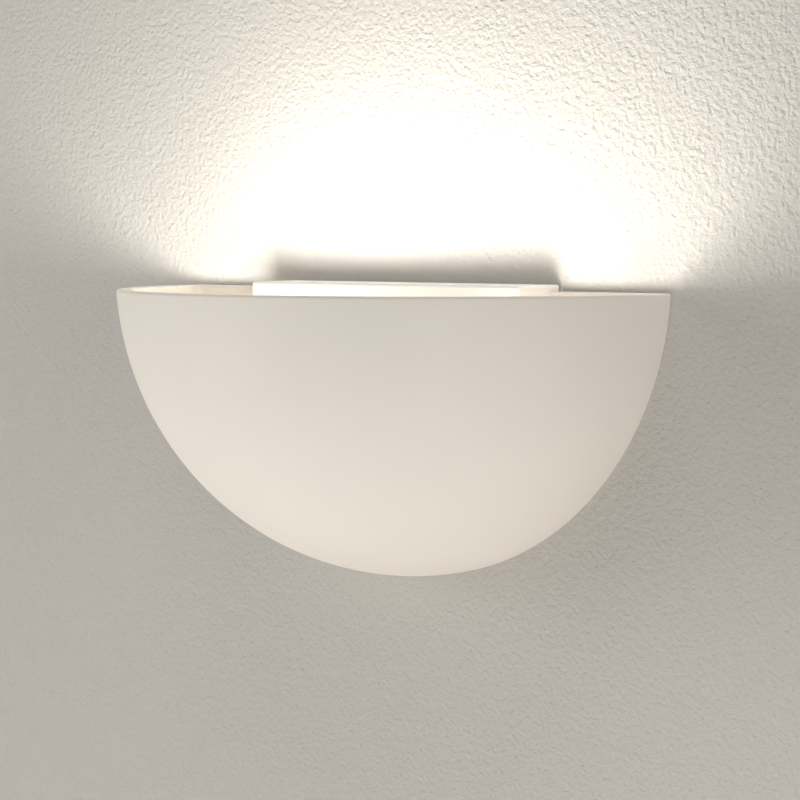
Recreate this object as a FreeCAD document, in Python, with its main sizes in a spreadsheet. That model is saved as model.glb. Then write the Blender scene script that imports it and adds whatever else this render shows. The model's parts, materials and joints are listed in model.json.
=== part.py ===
# Uplighter wall sconce: a plaster half bowl, open at the top, hung in front of the wall
# over a white steel gear box that carries the lamp holder and the wiring.
#
# Frame, in millimetres: the wall is the plane y = 0 and the room is at y < 0, +Z is up,
# +X is to the right seen from the room. The origin lies on the wall face of the back
# plate, midway between its two fixing slots.

import FreeCAD, Part
import math
import os
from types import SimpleNamespace

import Sketcher
from FreeCAD import Placement, Rotation, Vector

SIZES = {
    # shade: a half bowl of plaster with a flat back wall
    "rim_level": 36.0,  # rim above the line of the fixing slots
    "rim_half_width": 150.0,  # at the wall, on the rim
    "rim_projection": 150.0,  # from the wall, on the rim
    "bowl_depth": 145.6,  # rim to lowest point
    "bowl_rise": 9.2,  # the bowl is widest this far above the cut of the rim
    "bowl_wall": 8.0,
    "back_wall": 10.0,
    "rim_round": 1.2,
    "cavity_round": 6.0,  # between the bowl's inside and the back wall
    "notch_side_gap": 0.8,  # plaster to gear box, at each end
    "notch_foot_gap": 5.0,  # plaster to gear box, below
    "notch_round": 4.0,
    "seat_gap": 0.3,  # between pieces of the shade and the bracket that only rest together
    # gear box: a folded steel cover, open to the wall
    "box_width": 167.0,
    "box_height": 73.0,
    "box_depth": 36.0,  # wall to its front face
    "box_rise": 3.3,  # top above the rim
    "box_shift": 5.0,  # centre to the right of the bowl's centre
    "box_sheet": 1.2,
    "box_round": 1.5,
    # back plate, against the wall
    "plate_sheet": 1.5,
    "plate_inset": 1.0,  # plate edge inside the box outline
    "ear_reach": 24.0,  # ear beyond the end of the box
    "ear_height": 28.0,
    "ear_level": -5.0,  # centre of the ears, on the height of the fixing line
    "slot_spacing": 100.0,
    "slot_width": 5.0,
    "slot_length": 12.0,
    "lug_inset": 30.0,  # cover screw to the end of the box
    "lug_width": 14.0,
    "lug_depth": 18.0,
    "entry_level": -16.0,  # centre of the cable entry
    "entry_radius": 9.0,
    "cable_radius": 3.5,
    "grommet_lip": 2.0,
    # screws
    "screw_radius": 2.0,
    "screw_head_radius": 3.8,
    "screw_head_height": 2.4,
    "screw_length": 8.0,
    "thread_gap": 0.05,
    "nut_flats": 7.0,
    "nut_height": 3.2,
    "thumb_inset": 14.0,  # thumb screw beyond the end of the box
    "thumb_head_radius": 7.0,
    "thumb_head_height": 8.0,
    "thumb_hole_gap": 0.5,
    "thumb_end_inset": 0.5,  # screw's end inside the wall face
    "knurl_radius": 0.55,
    "thumb_washer_radius": 6.5,
    "thumb_washer_height": 1.0,
    "press_nut_radius": 4.5,
    "press_nut_height": 3.2,
    # terminal block
    "terminal_x": 22.0,
    "terminal_z": 17.0,
    "pole_pitch": 10.0,
    "terminal_length": 20.0,
    "terminal_height": 14.0,
    "clamp_radius": 2.6,
    "clamp_bore": 1.7,
    "clamp_lift": 7.0,  # clamp axis above the back plate
    "well_radius": 2.0,
    "clamp_inset": 1.5,  # clamp inside each end of the block
    "tower_round": 1.0,
    "well_offset": 5.0,
    "small_screw_radius": 1.4,
    "terminal_screw_sunk": 1.5,
    "slit_half": 0.25,  # screwdriver slit
    "slit_depth": 0.8,
    # earth stud
    "earth_x": 40.0,
    "earth_z": -18.0,
    "stud_length": 12.6,
    "tag_sheet": 0.8,
    "tag_neck_length": 8.0,
    "tag_barrel_start": 6.0,
    "tag_barrel_length": 5.0,
    "tag_barrel_radius": 1.5,
    "washer_sheet": 0.9,
    "washer_radius": 4.0,
    "washer_gap_radius": 0.7,
    # lamp holder and its bracket
    "lamp_seat": 60.0,  # front of the bracket's upright, where the holder seats
    "lamp_reach": 74.0,  # wall to the lamp's axis
    "lamp_level": -5.0,
    "bracket_sheet": 1.5,
    "bracket_half_height": 16.0,
    "bracket_foot": 25.0,
    "bracket_screw_inset": 8.0,
    "bracket_screw_offset": 10.0,
    "bracket_corner": 6.0,
    "bracket_margin": 17.0,  # upright beyond the lamp's axis
    "nipple_radius": 5.0,
    "nipple_bore": 3.5,
    "nipple_rear": 8.0,
    "nipple_front": 6.0,
    "locknut_flats": 14.0,
    "locknut_height": 3.0,
    "holder_radius": 19.5,
    "holder_wall": 2.4,
    "holder_cap_length": 22.0,
    "holder_spigot": 5.0,
    "flute_radius": 1.1,
    "core_length": 8.0,
    "core_gap": 0.3,
    "core_stand": 4.0,  # core to the lamp's foot contact
    "holder_screw_offset": 9.0,
    "contact_sheet": 0.5,
    "contact_base_radius": 5.0,
    "contact_tip_radius": 3.0,
    # screw thread of the lamp, drawn as rings
    "thread_crest": 13.05,
    "thread_root": 12.2,
    "thread_pitch": 3.63,
    "thread_turns": 4.0,
    "thread_start": 5.5,  # foot contact to the first turn
    "thread_clearance": 0.3,
    "shell_sheet": 0.4,
    "shell_hole": 8.0,
    "collar_step": 0.6,  # last turn to the collar of the lamp's cap, and collar to holder
    "shell_inset": 2.0,  # brass shell behind the holder's mouth
    # lamp
    "lamp_stand": 26.0,  # lamp's foot contact in front of the holder's seat
    "lamp_length": 108.0,
    "lamp_radius": 30.0,
    "lamp_neck_radius": 14.6,
    "lamp_cap_length": 25.0,
    "cap_foot": 3.6,  # foot contact to the start of the metal cap
    "insulator_start": 1.1,
    "insulator_end": 4.3,
    "insulator_radius": 10.4,
    "insulator_neck": 5.0,
    "lamp_flank_radius": 62.0,
    "glass_wall": 0.8,
    "stem_radius": 3.0,
    "wire_radius": 0.3,
    "filament_radius": 1.0,
    "filament_spread": 7.0,
    # wiring
    "lead_radius": 0.9,
    "lead_half_pitch": 1.3,
    "conductor_radius": 0.55,
    "clamped_end": 6.0,  # bare conductor inside a clamp
    "lead_grommet_radius": 5.5,
    "lead_hole_x": 74.0,
    "lead_hole_z": 22.0,
}

# ---------------------------------------------------------------------------
# document, sheet and terms
# ---------------------------------------------------------------------------

doc = FreeCAD.newDocument("uplighter_wall_sconce")
sheet = doc.addObject("Spreadsheet::Sheet", "sizes")


class Term:
    """A length worked out from the sheet: its number, and the expression that gives it."""

    def __init__(self, value, text):
        self.value = value
        self.text = text

    def __add__(self, other):
        return Term(self.value + term(other).value, f"({self.text} + {term(other).text})")

    def __sub__(self, other):
        return Term(self.value - term(other).value, f"({self.text} - {term(other).text})")

    def __mul__(self, other):
        return Term(self.value * term(other).value, f"({self.text} * {term(other).text})")

    def __truediv__(self, other):
        return Term(self.value / term(other).value, f"({self.text} / {term(other).text})")

    def __radd__(self, other):
        return term(other) + self

    def __rsub__(self, other):
        return term(other) - self

    def __rmul__(self, other):
        return term(other) * self

    def __neg__(self):
        return term(0) - self


def term(length):
    return length if isinstance(length, Term) else Term(float(length), repr(float(length)))


def root(length):
    return Term(math.sqrt(length.value), f"sqrt({length.text})")


for row, (alias, number) in enumerate(SIZES.items(), start=1):
    sheet.set(f"A{row}", alias.replace("_", " "))
    sheet.set(f"B{row}", str(number))
    sheet.setAlias(f"B{row}", alias)
doc.recompute()
mm = SimpleNamespace(**{alias: Term(number, f"sizes.{alias}") for alias, number in SIZES.items()})

ZERO = term(0)
PAST = term(5)  # how far a cutting tool runs past the face it opens
SMALL_GAP = term(0.2)  # round a screw in a hole that it only passes through

# places that several pieces share
BOX_LEFT = mm.box_shift - mm.box_width / 2
BOX_RIGHT = mm.box_shift + mm.box_width / 2
BOX_TOP = mm.rim_level + mm.box_rise
BOX_BOTTOM = BOX_TOP - mm.box_height
PLATE_FRONT = -mm.plate_sheet
BOX_FRONT = -mm.box_depth
THUMB_LEFT = BOX_LEFT - mm.thumb_inset
THUMB_RIGHT = BOX_RIGHT + mm.thumb_inset
LUG_SCREWS = (BOX_LEFT + mm.lug_inset, BOX_RIGHT - mm.lug_inset)
BRACKET_SCREW_X = mm.lamp_seat + mm.bracket_foot - mm.bracket_screw_inset
BRACKET_SCREWS = (mm.lamp_level - mm.bracket_screw_offset, mm.lamp_level + mm.bracket_screw_offset)
SCREW_HOLE = mm.screw_radius + mm.thread_gap
LUG_SCREW_Y = PLATE_FRONT - (mm.lug_depth - mm.plate_sheet) / 2
POLES = [mm.terminal_z + mm.pole_pitch * step for step in (-1, 0, 1)]
BLOCK_SCREW_Z = mm.terminal_z + mm.pole_pitch / 2
BLOCK_LEFT = mm.terminal_x - mm.terminal_length / 2
BLOCK_RIGHT = mm.terminal_x + mm.terminal_length / 2
BLOCK_BASE_FRONT = PLATE_FRONT - mm.terminal_height * 0.6
CLAMP_Y = PLATE_FRONT - mm.clamp_lift

# places along the lamp's axis: the holder's count from its seat, the lamp's from its foot
LAMP_AXIS = (mm.lamp_seat, -mm.lamp_reach, mm.lamp_level)
LAMP_FOOT = (mm.lamp_seat - mm.lamp_stand, -mm.lamp_reach, mm.lamp_level)
THREAD_END = mm.thread_start + mm.thread_turns * mm.thread_pitch
COLLAR_START = THREAD_END + mm.collar_step
HOLDER_MOUTH = mm.lamp_stand + THREAD_END
CORE_FRONT = mm.lamp_stand - mm.core_stand
CORE_REAR = CORE_FRONT - mm.core_length
SHELL_OUTSIDE = mm.thread_crest + mm.thread_clearance + mm.shell_sheet
HOLDER_BORE = SHELL_OUTSIDE + mm.thread_gap
NECK_OUTSIDE = mm.lamp_neck_radius - SMALL_GAP
NECK_START = COLLAR_START + mm.shell_sheet + SMALL_GAP

# turns that carry an axis along +X or +Z to another direction
ALONG = {
    "+X": Rotation(),
    "-X": Rotation(Vector(0, 0, 1), 180),
    "+Y": Rotation(Vector(0, 0, 1), 90),
    "-Y": Rotation(Vector(0, 0, 1), -90),
    "+Z": Rotation(Vector(0, 1, 0), -90),
    "-Z": Rotation(Vector(0, 1, 0), 90),
}
Z_TO_X = Rotation(Vector(0, 0, 1), Vector(1, 0, 0))

pieces = {}


# ---------------------------------------------------------------------------
# building blocks
# ---------------------------------------------------------------------------


def bind(obj, prop, length):
    obj.setExpression(prop, term(length).text)


def place(obj, base, rotation=None):
    start = Vector(*(term(length).value for length in base))
    obj.Placement = Placement(start, rotation or Rotation())
    for axis, length in zip("xyz", base):
        bind(obj, f"Placement.Base.{axis}", length)
    return obj


def block(name, low, high):
    obj = doc.addObject("Part::Box", name)
    for prop, start, end in zip(("Length", "Width", "Height"), low, high):
        bind(obj, prop, term(end) - term(start))
    return place(obj, low)


def rod(name, along, base, length, radius):
    obj = doc.addObject("Part::Cylinder", name)
    bind(obj, "Radius", radius)
    bind(obj, "Height", length)
    return place(obj, base, ALONG[along].multiply(Z_TO_X))


def hexagon(name, along, base, length, flats, bore):
    """A hexagon nut: a six-sided prism less its bore."""
    prism = doc.addObject("Part::Prism", name + "_prism")
    prism.Polygon = 6
    bind(prism, "Circumradius", flats / math.sqrt(3))
    bind(prism, "Height", length)
    place(prism, base, ALONG[along].multiply(Z_TO_X))
    return cut(name, prism, rod(name + "_bore", along, base, length, bore))


def join(name, *parts):
    obj = doc.addObject("Part::MultiFuse", name)
    obj.Shapes = list(parts)
    return obj


def overlap(name, *parts):
    obj = doc.addObject("Part::MultiCommon", name)
    obj.Shapes = list(parts)
    return obj


def cut(name, base, *tools):
    obj = doc.addObject("Part::Cut", name)
    obj.Refine = False  # a merged face would lose the seam that a later fillet needs
    obj.Base = base
    obj.Tool = tools[0] if len(tools) == 1 else join(name + "_tools", *tools)
    return obj


def group(name, parts):
    obj = doc.addObject("Part::Compound", name)
    obj.Links = list(parts)
    return obj


def rounded(name, base, radius, wanted):
    """A fillet of one radius on the edges of base for which wanted(edge) is true."""
    doc.recompute()
    obj = doc.addObject("Part::Fillet", name)
    obj.Base = base
    number = term(radius).value
    edges = enumerate(base.Shape.Edges, start=1)
    obj.Edges = [(index, number, number) for index, edge in edges if wanted(edge)]
    return obj


def feature(name, shape, base=(ZERO, ZERO, ZERO), along="+X"):
    obj = doc.addObject("Part::Feature", name)
    obj.Shape = shape
    return place(obj, base, ALONG[along])


def piece(node, obj):
    """Names a finished sub-part: the label is the name of its file."""
    obj.Label = node
    pieces[node] = obj
    return obj


def is_flat(edge, axis, level):
    """Whether an edge lies in the plane where the coordinate named by axis has this level."""
    box = edge.BoundBox
    ends = {"x": (box.XMin, box.XMax), "y": (box.YMin, box.YMax), "z": (box.ZMin, box.ZMax)}
    return all(abs(end - term(level).value) < 0.01 for end in ends[axis])


def outline(body, name, plane, points):
    """A closed sketch of straight lines through points, each held by its two distances."""
    sketch = body.newObject("Sketcher::SketchObject", name)
    support = next(item for item in body.Origin.OriginFeatures if item.Role == plane)
    sketch.AttachmentSupport = (support, [""])
    sketch.MapMode = "FlatFace"
    points = [(term(across), term(up)) for across, up in points]
    count = len(points)
    for index, (start, end) in enumerate(zip(points, points[1:] + points[:1])):
        ends = [Vector(across.value, up.value, 0) for across, up in (start, end)]
        sketch.addGeometry(Part.LineSegment(*ends), False)
    for index in range(count):
        sketch.addConstraint(Sketcher.Constraint("Coincident", index, 2, (index + 1) % count, 1))
    for index, point in enumerate(points):
        for kind, axis, length in zip(("DistanceX", "DistanceY"), (-2, -1), point):
            if length.text == ZERO.text:
                sketch.addConstraint(Sketcher.Constraint("PointOnObject", index, 1, axis))
            else:
                held = Sketcher.Constraint(kind, -1, 1, index, 1, length.value)
                number = sketch.addConstraint(held)
                sketch.setExpression(f"Constraints[{number}]", length.text)
    return sketch


def turned(name, along, base, points):
    """A turned piece: points are (distance along the axis, radius) pairs."""
    body = doc.addObject("PartDesign::Body", name)
    sketch = outline(body, name + "_profile", "XY_Plane", points)
    doc.recompute()
    solid = body.newObject("PartDesign::Revolution", name + "_turn")
    solid.Profile = sketch
    solid.ReferenceAxis = (sketch, ["H_Axis"])
    solid.Angle = 360
    return place(body, base, ALONG[along])


def padded(name, plane, base, points, length):
    """A flat piece: a sketched outline of the given thickness along the plane's normal."""
    body = doc.addObject("PartDesign::Body", name)
    sketch = outline(body, name + "_outline", plane, points)
    doc.recompute()
    solid = body.newObject("PartDesign::Pad", name + "_pad")
    solid.Profile = sketch
    bind(solid, "Length", length)
    return place(body, base)


def pan_screw(name, along, base, length, radius=mm.screw_radius):
    """A pan-head screw with a cross recess: base is under the head, along is the shank's way."""
    grow = radius / mm.screw_radius
    head = mm.screw_head_radius * grow
    high = mm.screw_head_height * grow
    points = [
        (-high, 0),
        (-high, head * 0.55),
        (-high * 0.72, head * 0.86),
        (-high * 0.35, head),
        (0, head),
        (0, radius),
        (length - radius * 0.4, radius),
        (length, radius * 0.6),
        (length, 0),
    ]
    body = turned(name + "_blank", along, base, points)
    arm = (head * 0.55).value
    bar = (head * 0.16).value
    start = -high.value - 1
    deep = (high * 0.55).value + 1
    cross = Part.makeBox(deep, 2 * arm, 2 * bar, Vector(start, -arm, -bar)).fuse(
        Part.makeBox(deep, 2 * bar, 2 * arm, Vector(start, -bar, -arm))
    )
    recess = feature(name + "_recess", cross.removeSplitter(), base, along)
    return cut(name, body, recess)


def tube_path(points):
    """Straight runs through points, joined by arcs as large as the two runs allow."""
    points = [Vector(*(term(length).value for length in point)) for point in points]
    edges = []
    here = points[0]
    radii = []
    for before, corner, after in zip(points, points[1:], points[2:]):
        run_in = corner - before
        run_out = after - corner
        turn = run_in.getAngle(run_out)
        trim = 0.45 * min(run_in.Length, run_out.Length)
        radii.append(trim / math.tan(turn / 2))
        way_in = Vector(run_in).normalize()
        way_out = Vector(run_out).normalize()
        start = corner - way_in * trim
        end = corner + way_out * trim
        to_middle = (way_out - way_in).normalize()
        rise = radii[-1] * (1 / math.cos(turn / 2) - 1)
        edges.append(Part.LineSegment(here, start).toShape())
        edges.append(Part.Arc(start, corner + to_middle * rise, end).toShape())
        here = end
    edges.append(Part.LineSegment(here, points[-1]).toShape())
    return Part.Wire(edges), min(radii)


def lead(node, points, bare_start, bare_end):
    """An insulated lead along points, with a bare conductor past each end."""
    radius = mm.lead_radius.value
    path, tightest = tube_path(points)
    ends = [path.OrderedVertexes[0].Point, path.OrderedVertexes[-1].Point]
    first, last = path.OrderedEdges[0], path.OrderedEdges[-1]
    way_in = first.tangentAt(first.FirstParameter)
    way_out = last.tangentAt(last.LastParameter)
    section = Part.Wire(Part.Circle(ends[0], way_in, radius).toShape())
    conductor = mm.conductor_radius.value
    sunk = 0.5  # conductor inside the insulation, so that the two join
    bare = [
        Part.makeCylinder(conductor, bare_start + sunk, ends[0] + way_in * sunk, way_in * -1),
        Part.makeCylinder(conductor, bare_end + sunk, ends[1] - way_out * sunk, way_out),
    ]
    shape = path.makePipeShell([section], True, False).fuse(bare)
    print(node, "length", round(path.Length, 1), "tightest bend", round(tightest, 1), "mm")
    return piece(node, feature(node, shape))


# ---------------------------------------------------------------------------
# shade
# ---------------------------------------------------------------------------


def ellipsoid(name, across, forward, up):
    obj = doc.addObject("Part::Ellipsoid", name)
    bind(obj, "Radius1", up)
    bind(obj, "Radius2", across)
    bind(obj, "Radius3", forward)
    return place(obj, (ZERO, ZERO, mm.rim_level + mm.bowl_rise))


def shade():
    half_height = mm.bowl_depth + mm.bowl_rise
    narrowing = root(1 - (mm.bowl_rise / half_height) * (mm.bowl_rise / half_height))
    across = mm.rim_half_width / narrowing
    forward = mm.rim_projection / narrowing
    far = across + forward + half_height

    outside = ellipsoid("bowl_outside", across, forward, half_height)
    room_side = block("room_side", (-far, -far, -far), (far, ZERO, mm.rim_level))
    blank = overlap("bowl_blank", outside, room_side)

    wall = mm.bowl_wall
    inside = ellipsoid("bowl_inside", across - wall, forward - wall, half_height - wall)
    before_back = block("before_back_wall", (-far, -far, -far), (far, -mm.back_wall, far))
    cavity = overlap("cavity", inside, before_back)

    def on_back_wall(edge):
        return is_flat(edge, "y", -mm.back_wall)

    def on_rim(edge):
        return is_flat(edge, "z", mm.rim_level) and not is_flat(edge, "y", 0)

    cavity = rounded("cavity_rounded", cavity, mm.cavity_round, on_back_wall)
    bowl = cut("bowl", blank, cavity)
    bowl = rounded("bowl_rounded", bowl, mm.rim_round, on_rim)

    notch_low = BOX_BOTTOM - mm.notch_foot_gap
    notch = block(
        "notch",
        (BOX_LEFT - mm.notch_side_gap, -mm.back_wall - PAST, notch_low),
        (BOX_RIGHT + mm.notch_side_gap, PAST, mm.rim_level + PAST),
    )

    def is_notch_corner(edge):
        return is_flat(edge, "z", notch_low) and edge.BoundBox.YLength > 1

    tools = [rounded("notch_rounded", notch, mm.notch_round, is_notch_corner)]
    rebate_depth = mm.plate_sheet + mm.seat_gap
    rebate_half = mm.ear_height / 2 + 2 * mm.seat_gap
    ends = (
        ("left", BOX_LEFT - mm.ear_reach - 2 * mm.seat_gap, BOX_LEFT, THUMB_LEFT),
        ("right", BOX_RIGHT, BOX_RIGHT + mm.ear_reach + 2 * mm.seat_gap, THUMB_RIGHT),
    )
    for side, start, end, screw_x in ends:
        tools.append(block(
            "rebate_" + side,
            (start, -rebate_depth, mm.ear_level - rebate_half),
            (end, PAST, mm.ear_level + rebate_half),
        ))
        base = (screw_x, ZERO, mm.ear_level)
        nut_depth = mm.plate_sheet + mm.press_nut_height + mm.seat_gap
        nut_radius = mm.press_nut_radius + mm.thumb_hole_gap
        tools.append(rod("nut_room_" + side, "-Y", base, nut_depth, nut_radius))
        hole_radius = mm.screw_radius + mm.thumb_hole_gap
        tools.append(rod("thumb_hole_" + side, "-Y", base, mm.back_wall + PAST, hole_radius))
    piece("shade", cut("shade", bowl, *tools))


# ---------------------------------------------------------------------------
# wall bracket: back plate and gear box
# ---------------------------------------------------------------------------


def back_plate():
    left, right = BOX_LEFT + mm.plate_inset, BOX_RIGHT - mm.plate_inset
    low, high = BOX_BOTTOM + mm.plate_inset, BOX_TOP - mm.plate_inset
    ear_left, ear_right = BOX_LEFT - mm.ear_reach, BOX_RIGHT + mm.ear_reach
    ear_low, ear_high = mm.ear_level - mm.ear_height / 2, mm.ear_level + mm.ear_height / 2
    points = [
        (left, low), (right, low), (right, ear_low), (ear_right, ear_low), (ear_right, ear_high),
        (right, ear_high), (right, high), (left, high), (left, ear_high), (ear_left, ear_high),
        (ear_left, ear_low), (left, ear_low),
    ]
    plate = padded("plate_sheet_piece", "XZ_Plane", (ZERO, ZERO, ZERO), points, mm.plate_sheet)
    parts = [plate]
    tools = []
    lug_low = BOX_BOTTOM + mm.box_sheet
    for number, screw_x in enumerate(LUG_SCREWS):
        parts.append(block(
            f"lug_{number}",
            (screw_x - mm.lug_width / 2, -mm.lug_depth, lug_low),
            (screw_x + mm.lug_width / 2, PLATE_FRONT / 2, lug_low + mm.plate_sheet),
        ))
        base = (screw_x, LUG_SCREW_Y, lug_low - PAST)
        tools.append(rod(f"lug_hole_{number}", "+Z", base, 2 * PAST, SCREW_HOLE))
    run = (mm.slot_length - mm.slot_width) / 2
    radius = mm.slot_width / 2
    for name, centre in (("slot_left", -mm.slot_spacing / 2), ("slot_right", mm.slot_spacing / 2)):
        start, end = centre - run, centre + run
        tools.append(block(name, (start, -PAST, -radius), (end, PAST, radius)))
        tools.append(rod(name + "_start", "-Y", (start, PAST, ZERO), 2 * PAST, radius))
        tools.append(rod(name + "_end", "-Y", (end, PAST, ZERO), 2 * PAST, radius))
    small_hole = mm.small_screw_radius + mm.thread_gap
    holes = (
        ("entry_hole", ZERO, mm.entry_level, mm.entry_radius),
        ("earth_hole", mm.earth_x, mm.earth_z, SCREW_HOLE),
        ("block_screw_hole", mm.terminal_x, BLOCK_SCREW_Z, small_hole),
        ("ear_hole_left", THUMB_LEFT, mm.ear_level, SCREW_HOLE),
        ("ear_hole_right", THUMB_RIGHT, mm.ear_level, SCREW_HOLE),
    )
    for name, x, z, radius in holes:
        tools.append(rod(name, "-Y", (x, PAST, z), 2 * PAST, radius))
    piece("back_plate", cut("back_plate", join("plate_and_lugs", *parts), *tools))


def gear_box():
    low = (BOX_LEFT, BOX_FRONT, BOX_BOTTOM)
    outside = block("box_outside", low, (BOX_RIGHT, PLATE_FRONT, BOX_TOP))

    def is_folded(edge):
        return not is_flat(edge, "y", PLATE_FRONT)

    shell = rounded("box_rounded", outside, mm.box_round, is_folded)
    wall = mm.box_sheet
    low = (BOX_LEFT + wall, BOX_FRONT + wall, BOX_BOTTOM + wall)
    tools = [block("box_inside", low, (BOX_RIGHT - wall, PAST, BOX_TOP - wall))]
    for number, screw_x in enumerate(LUG_SCREWS):
        base = (screw_x, LUG_SCREW_Y, BOX_BOTTOM - PAST)
        radius = mm.screw_radius + SMALL_GAP
        tools.append(rod(f"cover_hole_{number}", "+Z", base, 2 * PAST, radius))
    for number, screw_z in enumerate(BRACKET_SCREWS):
        base = (BRACKET_SCREW_X, BOX_FRONT + PAST, screw_z)
        tools.append(rod(f"bracket_hole_{number}", "-Y", base, 2 * PAST, SCREW_HOLE))
    base = (mm.lead_hole_x, BOX_FRONT + PAST, mm.lead_hole_z)
    tools.append(rod("lead_hole", "-Y", base, 2 * PAST, mm.lead_grommet_radius))
    piece("gear_box", cut("gear_box", shell, *tools))


def cover_screws():
    screws = [
        pan_screw(f"cover_screw_{number}", "+Z", (screw_x, LUG_SCREW_Y, BOX_BOTTOM), mm.screw_length)
        for number, screw_x in enumerate(LUG_SCREWS)
    ]
    piece("cover_screws", group("cover_screws", screws))


def cable_grommet():
    """A rubber grommet: its neck fills the plate's hole and its lip lies inside the box."""
    neck, bore, lip = mm.entry_radius, mm.cable_radius, mm.grommet_lip
    front = mm.plate_sheet + lip
    tip = front + lip * 2
    points = [
        (0, bore),
        (0, neck),
        (mm.plate_sheet, neck),
        (mm.plate_sheet, neck + lip),
        (front - lip * 0.4, neck + lip),
        (front, neck + lip * 0.5),
        (front, neck - lip),
        (tip, bore + lip * 0.8),
        (tip, bore),
    ]
    piece("cable_grommet", turned("cable_grommet", "-Y", (ZERO, ZERO, mm.entry_level), points))


def press_nuts():
    outer = mm.press_nut_radius
    collar = outer * 0.86
    reach = mm.press_nut_height
    points = [
        (0, SCREW_HOLE),
        (0, outer),
        (reach * 0.4, outer),
        (reach * 0.6, collar),
        (reach, collar),
        (reach, SCREW_HOLE),
    ]
    nuts = [
        turned("press_nut_" + side, "-Y", (x, PLATE_FRONT, mm.ear_level), points)
        for side, x in (("left", THUMB_LEFT), ("right", THUMB_RIGHT))
    ]
    piece("press_nuts", group("press_nuts", nuts))


# ---------------------------------------------------------------------------
# terminal block and earth
# ---------------------------------------------------------------------------


def terminal_block():
    block_front = PLATE_FRONT - mm.terminal_height
    half_pole = mm.pole_pitch * 0.4
    deep = mm.terminal_height
    base = block(
        "terminal_base",
        (BLOCK_LEFT, BLOCK_BASE_FRONT, POLES[0] - mm.pole_pitch / 2),
        (BLOCK_RIGHT, PLATE_FRONT, POLES[2] + mm.pole_pitch / 2),
    )

    def is_tower_edge(edge):
        return edge.BoundBox.XLength > 1 and is_flat(edge, "y", block_front)

    parts = [base]
    tools = []
    clamps = []
    screws = []
    for number, pole_z in enumerate(POLES):
        low = (BLOCK_LEFT, block_front, pole_z - half_pole)
        tower = block(f"tower_{number}", low, (BLOCK_RIGHT, PLATE_FRONT, pole_z + half_pole))
        parts.append(rounded(f"tower_rounded_{number}", tower, mm.tower_round, is_tower_edge))
        start = (BLOCK_LEFT - PAST, CLAMP_Y, pole_z)
        radius = mm.clamp_radius + mm.thread_gap
        tools.append(rod(f"clamp_seat_{number}", "+X", start, mm.terminal_length + 2 * PAST, radius))
        start = (BLOCK_LEFT + mm.clamp_inset, CLAMP_Y, pole_z)
        length = mm.terminal_length - 2 * mm.clamp_inset
        clamp = rod(f"clamp_rod_{number}", "+X", start, length, mm.clamp_radius)
        clamp_tools = [rod(f"clamp_bore_{number}", "+X", start, length, mm.clamp_bore)]
        for end, way in (("a", -1), ("b", 1)):
            name = f"{number}{end}"
            base = (mm.terminal_x + mm.well_offset * way, CLAMP_Y, pole_z)
            tools.append(rod("well_" + name, "-Y", base, deep, mm.well_radius))
            radius = mm.small_screw_radius + mm.thread_gap
            clamp_tools.append(rod("clamp_hole_" + name, "-Y", base, deep, radius))
            screws.append(terminal_screw("terminal_screw_" + name, base[0], pole_z))
        clamps.append(cut(f"clamp_{number}", clamp, *clamp_tools))
    screw_seat = (mm.terminal_x, BLOCK_BASE_FRONT, BLOCK_SCREW_Z)
    base = (mm.terminal_x, ZERO, BLOCK_SCREW_Z)
    radius = mm.small_screw_radius + SMALL_GAP
    tools.append(rod("block_screw_hole_through", "-Y", base, 2 * deep, radius))
    radius = mm.screw_head_radius * mm.small_screw_radius / mm.screw_radius + SMALL_GAP
    tools.append(rod("block_screw_well", "-Y", screw_seat, deep, radius))
    piece("terminal_body", cut("terminal_body", join("terminal_blank", *parts), *tools))
    piece("terminal_clamps", group("terminal_clamps", clamps))
    piece("terminal_screws", group("terminal_screws", screws))
    length = -BLOCK_BASE_FRONT - mm.seat_gap
    screw = pan_screw("terminal_fixing_screw", "+Y", screw_seat, length, mm.small_screw_radius)
    piece("terminal_fixing_screw", screw)


def terminal_screw(name, x, pole_z):
    """A slotted grub screw that presses a conductor in its clamp."""
    tip = CLAMP_Y - mm.conductor_radius
    length = mm.terminal_height - mm.clamp_lift - mm.terminal_screw_sunk
    radius = mm.small_screw_radius
    shank = rod(name + "_shank", "-Y", (x, tip, pole_z), length, radius)
    top = tip - length
    low = (x - mm.slit_half, top - PAST, pole_z - radius * 1.5)
    high = (x + mm.slit_half, top + mm.slit_depth, pole_z + radius * 1.5)
    return cut(name, shank, block(name + "_slit", low, high))


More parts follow.
